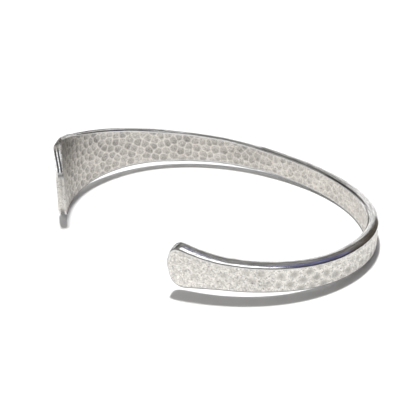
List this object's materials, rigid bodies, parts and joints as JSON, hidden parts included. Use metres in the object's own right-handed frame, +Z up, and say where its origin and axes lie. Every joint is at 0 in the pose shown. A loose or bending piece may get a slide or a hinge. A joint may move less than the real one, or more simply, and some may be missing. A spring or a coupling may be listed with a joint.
{
  "type": "spoon bangle",
  "caption": "Open silver cuff bangle forged like a spoon handle, with a wide thin end, a narrow band and a small flared end, hammered faces and a polished rim, lying on its side.",
  "frame": {"origin": "on the surface it lies on, under the middle of the cuff's box", "axes": "+Z up from the surface; +X to the right across the cuff, from the wide end; +Y away, towards the closed back; the mouth is at -X -Y"},
  "size_m": [0.055, 0.057, 0.0164],
  "materials": {
    "silver": "sterling silver: faces hammered into small hollows and left satin with a warm grey tarnish in the hollows, rim polished bright"
  },
  "bodies": {
    "root": {"cuff_band": "silver"}
  },
  "joints": []
}
